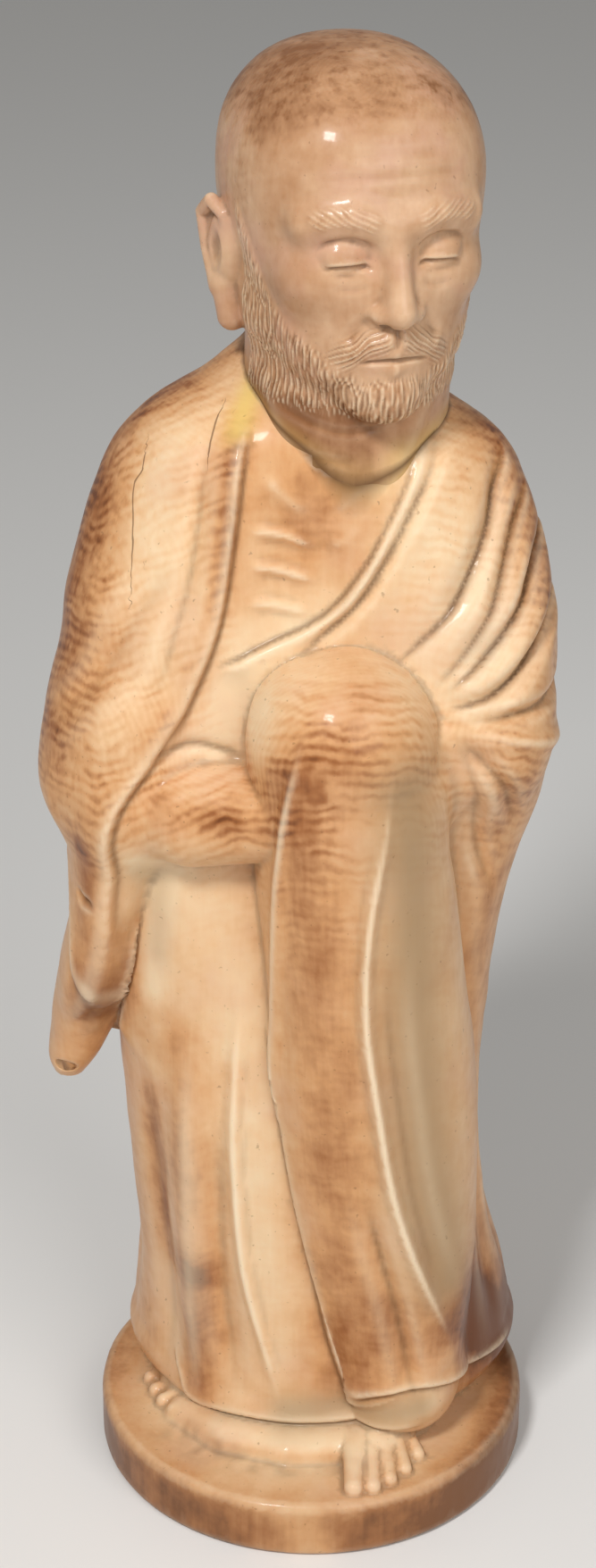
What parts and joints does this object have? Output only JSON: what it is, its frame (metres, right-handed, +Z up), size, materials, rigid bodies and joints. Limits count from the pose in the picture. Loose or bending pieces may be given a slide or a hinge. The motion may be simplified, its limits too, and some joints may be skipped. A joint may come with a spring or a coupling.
{
  "type": "carved statuette of a robed monk",
  "caption": "Polished ivory carving of a bearded, shaven-headed monk in a loose robe, hunched over one raised knee, on a low round plinth cut from the same piece.",
  "frame": {"origin": "centre of the plinth's flat underside, on the surface it stands on", "axes": "+Z up, -Y the figure's front, +X the figure's left"},
  "size_m": [0.0669, 0.06, 0.1972],
  "materials": {
    "stained_ivory": "polished ivory, cream in the hollows and stained orange-brown on the raised cloth",
    "rosy_ivory": "polished ivory with a pinkish-brown stain"
  },
  "bodies": {
    "root": {"robed_body": "stained_ivory", "head": "rosy_ivory"}
  },
  "joints": []
}
